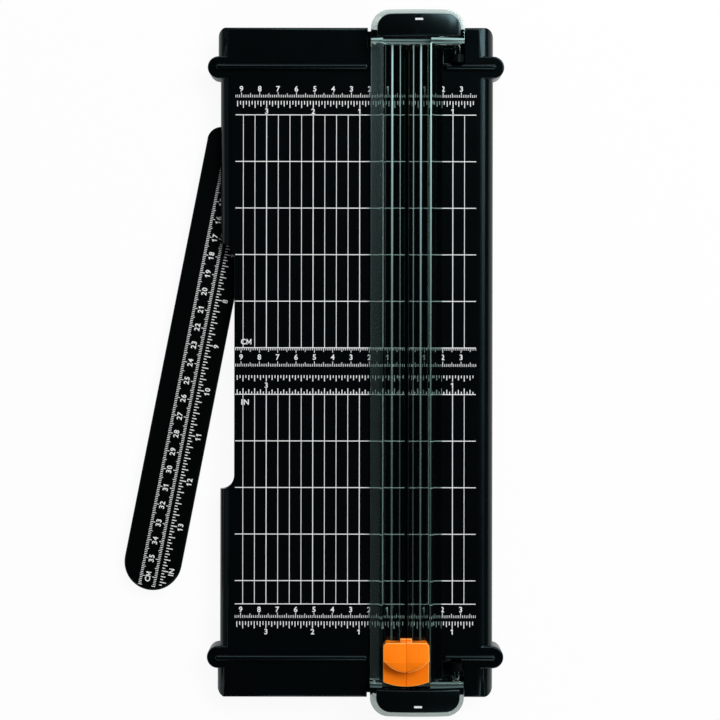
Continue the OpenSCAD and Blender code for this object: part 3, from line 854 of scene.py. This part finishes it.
class Printer:
    """Prints rows of ticks, lines and words on one face, and joins them into one piece."""

    def __init__(self, place: Matrix, ink: Finish, ink_t: float = 0.04, sunk: float = 0.02) -> None:
        """Starts an empty print.

        Args:
            place: turns the print's own plan, in metres, into the row frame.
            ink: the finish of the print.
            ink_t: how far the ink stands on the face.
            sunk: how far it reaches into the face.
        """
        self.place = place
        self.ink = ink
        self.ink_t = ink_t
        self.sunk = sunk
        self.ticks = TickTree()
        self.glyphs: dict[tuple[str, float], bpy.types.Mesh] = {}
        self.sheet = bmesh.new()

    def press(self, mesh: bpy.types.Mesh, u: float, v: float, layer: Layer) -> None:
        """Adds a mesh to the print.

        Args:
            mesh: a flat solid around the origin, which is kept.
            u: where it goes along the print's plan.
            v: where it goes across the plan.
            layer: its layer of print.
        """
        copy = mesh.copy()
        rise = (layer.value - self.sunk) * MM
        copy.transform(self.place @ Matrix.Translation((u * MM, v * MM, rise)))
        self.sheet.from_mesh(copy)
        bpy.data.meshes.remove(copy)

    def row(
        self,
        scale: Scale,
        first: int,
        last: int,
        v: float,
        side: Side,
        lengths: Triple,
        width: float,
        u: float = 0.0,
        forward: int = 1,
        layer: Layer = Layer.TICK,
    ) -> None:
        """Prints a row of ticks.

        Args:
            scale: the division that the row counts.
            first: the first tick's number.
            last: the last tick's number.
            v: the base line.
            side: the side of the base line that the ticks are on.
            lengths: short, middle and long ticks.
            width: the width of a tick.
            u: where the row's zero is.
            forward: 1, or -1 where the numbers grow towards the left.
            layer: the row's layer of print.
        """
        short, middle, longest = (length * MM for length in lengths)
        mesh = self.ticks.mesh(
            {
                "Count": last - first + 1,
                "First": first,
                "Pitch": scale.pitch * forward * MM,
                "Width": width * MM,
                "Height": (self.ink_t + self.sunk) * MM,
                "Short": short,
                "Middle": middle,
                "Long": longest,
                "Middle Every": scale.middle_every,
                "Long Every": scale.long_every,
                "Side": float(side.value),
                "Ink": self.ink.material(),
            }
        )
        self.press(mesh, u, v, layer)
        bpy.data.meshes.remove(mesh)

    def lines(
        self,
        pitch: float,
        first: int,
        last: int,
        low: float,
        high: float,
        width: float,
        layer: Layer,
    ) -> None:
        """Prints upright lines.

        Args:
            pitch: the distance between lines.
            first: the first line's number, counted from u = 0.
            last: the last line's number.
            low: their lower end.
            high: their upper end.
            width: the width of a line.
            layer: the lines' layer of print.
        """
        lengths = (high - low,) * 3
        self.row(Scale(pitch, 1, 1), first, last, low, Side.UP, lengths, width, layer=layer)

    def bar(self, ends: tuple[float, float], v: float, width: float) -> None:
        """Prints one level line.

        Args:
            ends: the u values of its two ends.
            v: its middle.
            width: its width.
        """
        left, right = ends
        self.row(
            ONE_MARK,
            0,
            0,
            v - width / 2,
            Side.UP,
            (width,) * 3,
            right - left,
            u=(left + right) / 2,
            layer=Layer.LEVEL,
        )

    def outlined(self, mark: str, height: float) -> bpy.types.Mesh:
        """Draws a mark that has an outline of its own.

        Args:
            mark: a key of OUTLINES.
            height: the height of a capital.

        Returns:
            A thin closed solid whose middle is at the origin.
        """
        form = bmesh.new()
        corners = [
            form.verts.new((x * height * MM, y * height * MM, 0.0)) for x, y in OUTLINES[mark]
        ]
        grown = bmesh.ops.extrude_face_region(form, geom=[form.faces.new(corners)])
        raised = [item for item in grown["geom"] if isinstance(item, bmesh.types.BMVert)]
        bmesh.ops.translate(form, verts=raised, vec=(0.0, 0.0, (self.ink_t + self.sunk) * MM))
        bmesh.ops.recalc_face_normals(form, faces=form.faces)
        mesh = bpy.data.meshes.new("mark")
        form.to_mesh(mesh)
        form.free()
        return mesh

    def glyph(self, mark: str, height: float) -> bpy.types.Mesh:
        """Gives a mark as a thin closed solid.

        Args:
            mark: a numeral or a letter.
            height: the height of a capital.

        Returns:
            A mesh whose middle is at the origin.
        """
        key = (mark, height)
        if key not in self.glyphs:
            drawn = self.outlined if mark in OUTLINES else self.lettered
            self.glyphs[key] = drawn(mark, height)
        return self.glyphs[key]

    def lettered(self, mark: str, height: float) -> bpy.types.Mesh:
        """Draws a mark in the built-in face.

        Args:
            mark: a numeral or a letter.
            height: the height of a capital.

        Returns:
            A thin closed solid whose middle is at the origin.
        """
        curve = bpy.data.curves.new("numeral_source", "FONT")
        curve.body = mark
        curve.align_x = "CENTER"
        curve.size = height * MM / CAPITAL_SHARE
        curve.offset = BOLD * curve.size
        curve.extrude = (self.ink_t + self.sunk) * MM / 2
        curve.resolution_u = CURVE_STEPS
        mesh = baked(linked("numeral_source", curve))
        bpy.data.curves.remove(curve)
        low = Vector([min(point.co[axis] for point in mesh.vertices) for axis in range(3)])
        high = Vector([max(point.co[axis] for point in mesh.vertices) for axis in range(3)])
        middle = (low + high) / 2
        mesh.transform(Matrix.Translation((-middle.x, -middle.y, -low.z)))
        return mesh

    def word(
        self, words: str, u: float, v: float, height: float, pitch: float = FIGURE_PITCH
    ) -> None:
        """Prints a number or a word mark by mark.

        Args:
            words: numerals or letters.
            u: the middle of the word.
            v: the middle of its height.
            height: the height of a capital.
            pitch: the distance between marks, as a share of the height.
        """
        for place, mark in enumerate(words):
            shift = (place - (len(words) - 1) / 2) * pitch * height
            self.press(self.glyph(mark, height), u + shift, v, Layer.WORD)

    def piece(self, name: str, body: str, slot: str) -> None:
        """Joins the print into one piece.

        Args:
            name: the piece's name.
            body: the body that it moves with.
            slot: the record's finish slot of the face under it; not used.
        """
        bmesh.ops.remove_doubles(self.sheet, verts=self.sheet.verts, dist=PRINT_MERGE_M)
        mesh = bpy.data.meshes.new(name)
        self.sheet.to_mesh(mesh)
        self.sheet.free()
        mesh.materials.clear()
        mesh.materials.append(self.ink.material())
        for face in mesh.polygons:
            face.material_index = 0
        for glyph in self.glyphs.values():
            bpy.data.meshes.remove(glyph)
        piece = linked(name, mesh)
        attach(piece, body)
        LOG.info("%s is printed on %s", name, body)


@dataclass
class Base:
    """The moulded base with its feet, hinge blocks, keeper and pivot."""

    rounding: Rounding = Rounding(0.3, shortest=0.6, fillet_above=8.0)
    feet: tuple[str, ...] = (
        "foot_rear_left",
        "foot_rear_right",
        "foot_front_left",
        "foot_front_right",
    )
    blocks: tuple[str, ...] = ("hinge_block_rear", "hinge_block_front", "arm_keeper")
    steel: tuple[str, ...] = ("hinge_screws", "keeper_screws", "pivot_screw", "pivot_washer")

    def build(self) -> None:
        """Dresses every piece that rides on the base."""
        softened("base_shell", BASE_BLACK, self.rounding)
        for node in self.feet:
            dress(node, FOOT_RUBBER)
        for node in self.blocks:
            dress(node, BLOCK_BLACK)
        for node in self.steel:
            dress(node, SCREW_STEEL)


@dataclass
class BedPrint:
    """The bed's inch grid and its centimetre and inch rows, measured from the cut line."""

    left_end: float = -93.2
    right_end: float = 38.1
    cut_gap: float = 0.8
    grid_top: float = 134.9
    line_w: float = 0.46
    quarter_w: float = 0.34
    tick_w: float = 0.32
    inch_tick_w: float = 0.48
    numeral_h: float = 2.95
    cm_first: int = -93
    cm_last: int = 38
    inch_first: int = -58
    inch_last: int = 23
    cm_lengths: Triple = (1.45, 2.3, 2.75)
    inch_lengths: Triple = (2.0, 3.0, 3.8)
    middle_inch_lengths: Triple = (1.5, 2.6, 3.3)
    bed_below_fence: float = 2.0
    level_lines: tuple[float, ...] = (0, 1, 2, 3, 4, 5, 6, 7, 8, 9, 10, 10.5)
    upright_spans: tuple[tuple[float, float], ...] = ((0, 5), (6, 10.5))
    quarters: tuple[tuple[int, int], ...] = ((-14, -4), (-2, -2), (2, 2), (4, 5))
    inch_left: tuple[int, int] = (-3, -1)
    inch_right: tuple[int, int] = (1, 1)
    cm_numerals: tuple[int, ...] = (-9, -8, -7, -6, -5, -4, -3, -2, -1, 1, 2, 3)
    inch_numerals: tuple[int, ...] = (-3, -2, -1, 1)
    middle_inch_numerals: tuple[int, ...] = (-3, 1)
    cm_rows: tuple[tuple[float, Side], ...] = (
        (144.4, Side.UP),
        (8.0, Side.DOWN),
        (-2.35, Side.UP),
        (-139.4, Side.UP),
    )
    inch_rows: tuple[tuple[float, Side], ...] = ((142.5, Side.DOWN), (-141.3, Side.DOWN))
    middle_inch_rows: tuple[tuple[float, Side], ...] = ((-7.1, Side.DOWN), (-17.5, Side.UP))
    cm_numeral_rows: tuple[float, ...] = (149.1, 2.8, -134.8)
    inch_numeral_rows: tuple[float, ...] = (136.9, -146.9)
    middle_inch_numeral_row: float = -12.55
    labels: tuple[Label, ...] = (("CM", -87.2, 11.2, 1.03), ("IN", -88.3, -21.7, 0.84))

    def halves(self, first: int, last: int) -> tuple[tuple[int, int], tuple[int, int]]:
        """Splits a row's numbers at the cut line, which has no tick."""
        return (first, -1), (1, last)

    def grid(self, printer: Printer) -> None:
        """Prints the level lines, which count inches from the top, and the uprights between them.

        Args:
            printer: the bed's printer.
        """
        level = {number: self.grid_top - number * INCH for number in self.level_lines}
        for v in level.values():
            printer.bar((self.left_end, -self.cut_gap), v, self.line_w)
            printer.bar((self.cut_gap, self.right_end), v, self.line_w)
        for top, bottom in self.upright_spans:
            high, low = level[top], level[bottom]
            for first, last in self.quarters:
                printer.lines(INCH / 4, first, last, low, high, self.quarter_w, Layer.UPRIGHT)
            for first, last in (self.inch_left, self.inch_right):
                printer.lines(INCH, first, last, low, high, self.line_w, Layer.TICK)

    def rows(self, printer: Printer) -> None:
        """Prints the rows of ticks.

        Args:
            printer: the bed's printer.
        """
        for v, side in self.cm_rows:
            for first, last in self.halves(self.cm_first, self.cm_last):
                printer.row(MILLIMETRES, first, last, v, side, self.cm_lengths, self.tick_w)
        for rows, lengths in (
            (self.inch_rows, self.inch_lengths),
            (self.middle_inch_rows, self.middle_inch_lengths),
        ):
            for v, side in rows:
                for first, last in self.halves(self.inch_first, self.inch_last):
                    printer.row(SIXTEENTHS, first, last, v, side, lengths, self.inch_tick_w)

    def words(self, printer: Printer) -> None:
        """Prints the numerals and the two unit labels.

        Args:
            printer: the bed's printer.
        """
        for v in self.cm_numeral_rows:
            for number in self.cm_numerals:
                printer.word(str(abs(number)), number * CM, v, self.numeral_h)
        inch_words = [(number, v) for v in self.inch_numeral_rows for number in self.inch_numerals]
        inch_words += [
            (number, self.middle_inch_numeral_row) for number in self.middle_inch_numerals
        ]
        for number, v in inch_words:
            printer.word(str(abs(number)), number * INCH, v, self.numeral_h)
        for text, u, v, pitch in self.labels:
            printer.word(text, u, v, self.numeral_h, pitch)

    def build(self) -> None:
        """Prints the bed."""
        bed_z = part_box("base_shell")[1].z - self.bed_below_fence * MM
        printer = Printer(Matrix.Translation((CUT_X, 0.0, bed_z)), PRINT_WHITE)
        self.grid(printer)
        self.rows(printer)
        self.words(printer)
        printer.piece("bed_print", "base", slot_of("base_shell"))


@dataclass
class Rail:
    """The clear cutting rail with its end caps, wire and anchors."""

    rounding: Rounding = Rounding(0.2, rim=0.8, rim_above=24.2)
    cap_rounding: Rounding = Rounding(0.8)
    dash_l: float = 4.2
    dash_w: float = 1.1
    dash_inset: float = 3.1
    dash_sunk: float = 0.08

    def dash(self, node: str, outer: int) -> None:
        """Prints a short white dash near a cap's outer edge.

        Args:
            node: the end cap.
            outer: 1 at the rear, -1 at the front.
        """
        low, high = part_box(node)
        edge = high.y if outer > 0 else low.y
        along = edge - outer * self.dash_inset * MM
        place = Matrix.Translation(((low.x + high.x) / 2, along, high.z))
        printer = Printer(place, PRINT_WHITE, sunk=self.dash_sunk)
        printer.bar((-self.dash_l / 2, self.dash_l / 2), 0.0, self.dash_w)
        printer.piece(f"{node}_dash", body_of(node), slot_of(node))

    def build(self) -> None:
        """Dresses every piece that rides on the rail."""
        softened("rail", CLEAR, self.rounding)
        for node, outer in (("end_cap_rear", 1), ("end_cap_front", -1)):
            softened(node, CAP_BLACK, self.cap_rounding)
            self.dash(node, outer)
        dress("cut_line_wire", WIRE_STEEL)
        dress("wire_anchor_rear", ANCHOR_STEEL)
        dress("wire_anchor_front", ANCHOR_STEEL)


@dataclass
class Carriage:
    """The thumb carriage in its two halves, with the blade and the cross pins.

    Attributes:
        rounding: how the edges above the track are rounded.
        crest: the Y and Z of the thumb lip's crest.
        lip_under: the lip's points lie above this height.
        lip_share: how much of the lip's fall from its crest is kept.
    """

    rounding: Rounding = Rounding(0.0, rim=0.35, rim_above=22.0, shortest=0.3)
    crest: tuple[float, float] = (-160.06, 29.4)
    lip_under: float = 25.65
    lip_share: float = 0.2

    def flatten_lip(self, form: bmesh.types.BMesh) -> None:
        """Draws the thumb lip flatter than the rounded crest of the solid.

        Args:
            form: the copy of a carriage half.
        """
        ridge, top = self.crest
        for point in form.verts:
            if point.co.y < ridge * MM and point.co.z > self.lip_under * MM:
                point.co.z = top * MM - self.lip_share * (top * MM - point.co.z)

    def build(self) -> None:
        """Dresses every piece that rides on the carriage."""
        for node in ("carriage_left", "carriage_right"):
            # The rounded edges of each half carry a painted highlight in lighter orange.
            softened(node, ORANGE, self.rounding, ORANGE_PAINTED_HIGHLIGHT, self.flatten_lip)
        dress("blade", BLADE_STEEL)
        dress("carriage_rivets", SCREW_STEEL)


@dataclass
class RulerArm:
    """The ruler arm with its bush and its printed scales, which count from the cut line."""

    rounding: Rounding = Rounding(0.25)
    pivot_reading: float = 88.0
    numeral_line: float = 1.05
    numeral_h: float = 2.85
    tick_w: float = 0.36
    inch_tick_w: float = 0.5
    cm_first: int = 118
    cm_last: int = 365
    inch_first: int = 75
    inch_last: int = 229
    cm_upper: float = 4.5
    cm_lower: float = -5.0
    inch_line: float = -6.95
    inch_numeral_line: float = -12.3
    cm_lengths: Triple = (1.5, 2.1, 2.65)
    inch_lengths: Triple = (1.5, 2.5, 3.5)
    cm_numerals: tuple[int, int] = (13, 35)
    inch_numerals: tuple[int, int] = (5, 13)
    labels: tuple[Label, ...] = (("CM", 360.2, 0.0, 1.0), ("IN", 356.0, -12.2, 0.8))

    def place(self) -> Matrix:
        """Gives the matrix from readings along the arm to the row frame.

        Returns:
            A matrix whose X axis runs from the tip towards the pivot.
        """
        joint = next(joint for joint in frame["joints"] if joint["name"] == "ruler_swing")
        open_angle = math.radians(-joint["range_deg"][0])
        outward = Vector((-math.sin(open_angle), -math.cos(open_angle), 0.0))
        across = Vector((math.cos(open_angle), -math.sin(open_angle), 0.0))
        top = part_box("ruler_arm")[1].z
        zero = Vector((joint["pos_m"][0], joint["pos_m"][1], top))
        zero -= outward * self.pivot_reading * MM + across * self.numeral_line * MM
        turn = Matrix((-outward, -across, Vector((0.0, 0.0, 1.0)))).transposed().to_4x4()
        return Matrix.Translation(zero) @ turn

    def scales(self, printer: Printer) -> None:
        """Prints the rows of ticks, the numerals and the two unit labels.

        Args:
            printer: the arm's printer.
        """
        for v, side in ((self.cm_upper, Side.DOWN), (self.cm_lower, Side.UP)):
            printer.row(
                MILLIMETRES,
                self.cm_first,
                self.cm_last,
                v,
                side,
                self.cm_lengths,
                self.tick_w,
                forward=-1,
            )
        printer.row(
            SIXTEENTHS,
            self.inch_first,
            self.inch_last,
            self.inch_line,
            Side.DOWN,
            self.inch_lengths,
            self.inch_tick_w,
            forward=-1,
        )
        for number in range(self.cm_numerals[0], self.cm_numerals[1] + 1):
            printer.word(str(number), -CM * number, 0.0, self.numeral_h)
        for number in range(self.inch_numerals[0], self.inch_numerals[1] + 1):
            printer.word(str(number), -INCH * number, self.inch_numeral_line, self.numeral_h)
        for text, reading, v, pitch in self.labels:
            printer.word(text, -reading, v, self.numeral_h, pitch)

    def build(self) -> None:
        """Dresses the arm and prints its scales."""
        softened("ruler_arm", ARM_BLACK, self.rounding)
        dress("arm_bush", ACETAL)
        printer = Printer(self.place(), PRINT_WHITE)
        self.scales(printer)
        printer.piece("arm_print", "arm", slot_of("ruler_arm"))


@dataclass(frozen=True)
class Lamp:
    """A soft box: where it stands, its two sides and the radiance of its face."""

    name: str
    place: Triple
    size: tuple[float, float]
    radiance: float

    def build(self, aim: Vector) -> None:
        """Stands the lamp, which clear plastic doesn't show.

        Args:
            aim: the point that it is turned towards.
        """
        light = bpy.data.lights.new(self.name, "AREA")
        light.shape = "RECTANGLE"
        light.size, light.size_y = self.size
        light.energy = self.radiance * math.pi * self.size[0] * self.size[1]
        lamp = linked(self.name, light)
        lamp.location = self.place
        lamp.rotation_euler = (aim - Vector(self.place)).to_track_quat("-Z", "Y").to_euler()
        lamp.visible_transmission = False


@dataclass
class Studio:
    """The pale floor, the soft lamps, the world and the camera over the bed."""

    floor_half: float = 12.0
    floor_colour: Colour = (0.86, 0.86, 0.86)
    floor_glow: float = 0.93
    floor_mirrored: float = 0.4
    world_colour: Colour = (0.02, 0.0215, 0.023)
    camera_place: Triple = (CUT_X - 0.02514, 0.022, 0.7785)
    camera_roll_deg: float = 0.09
    clip_m: float = 0.01
    lens_mm: float = 70.0
    sensor_mm: float = 36.0
    nadir_px: tuple[float, float] = (360.0, 322.0)
    lamps: list[Lamp] = field(
        default_factory=lambda: [
            Lamp("rear_right_box", (1.53, 1.25, 1.95), (2.2, 1.4), 8.2),
            Lamp("rear_box", (-0.2, 2.4, 1.6), (2.0, 1.4), 2.6),
            Lamp("left_box", (-2.2, 0.6, 1.4), (2.6, 1.8), 0.25),
            Lamp("front_box", (0.8, -2.1, 1.5), (1.6, 1.0), 3.6),
        ]
    )

    def floor(self) -> None:
        """Lays the floor, which shows as white and keeps a soft shadow."""
        half = self.floor_half
        mesh = bpy.data.meshes.new("floor")
        corners = [(-half, -half, 0.0), (half, -half, 0.0), (half, half, 0.0), (-half, half, 0.0)]
        mesh.from_pydata(corners, [], [(0, 1, 2, 3)])
        material = bpy.data.materials.new("floor_white")
        material.use_nodes = True
        graph = Graph(material.node_tree)
        path = graph.node("ShaderNodeLightPath")
        seen = graph.signal(path, "Is Camera Ray")
        for ray in ("Is Glossy Ray", "Is Transmission Ray"):
            seen = seen.maximum(self.floor_mirrored * graph.signal(path, ray))
        glow = graph.node("ShaderNodeEmission", None, {"Strength": 1.0})
        mix = graph.blended(seen * self.floor_glow, graph.diffuse(self.floor_colour), glow)
        graph.node("ShaderNodeOutputMaterial", None, {"Surface": mix.outputs["Shader"]})
        mesh.materials.append(material)
        linked("floor", mesh)

    def world(self) -> None:
        """Sets the dim room around the lamps."""
        world = bpy.data.worlds.new("room")
        world.use_nodes = True
        graph = Graph(world.node_tree)
        dim = {"Color": (*self.world_colour, 1.0), "Strength": 1.0}
        room = graph.node("ShaderNodeBackground", None, dim)
        graph.node("ShaderNodeOutputWorld", None, {"Surface": room.outputs["Background"]})
        bpy.context.scene.world = world

    def camera(self) -> None:
        """Hangs the camera straight above the bed."""
        data = bpy.data.cameras.new("camera")
        data.sensor_fit = "HORIZONTAL"
        data.sensor_width = self.sensor_mm
        data.lens = self.lens_mm
        data.clip_start = self.clip_m
        data.shift_x = (IMAGE_PX / 2 - self.nadir_px[0]) / IMAGE_PX
        data.shift_y = (self.nadir_px[1] - IMAGE_PX / 2) / IMAGE_PX
        camera = linked("camera", data)
        camera.location = self.camera_place
        camera.rotation_euler = (0.0, 0.0, math.radians(self.camera_roll_deg))
        bpy.context.scene.camera = camera

    def build(self) -> None:
        """Builds the studio."""
        self.floor()
        self.world()
        low, high = (Vector(corner) for corner in CAD_BOX)
        for lamp in self.lamps:
            lamp.build((low + high) / 2)
        self.camera()
        bpy.context.scene.view_settings.view_transform = "Standard"


def main() -> None:
    """Builds every sub-assembly and the studio."""
    logging.basicConfig(level=logging.INFO, format="%(name)s: %(message)s")
    for assembly in (Base(), BedPrint(), Rail(), Carriage(), RulerArm(), Studio()):
        assembly.build()
        LOG.info("%s is built", type(assembly).__name__)


if __name__ == "__main__":
    main()
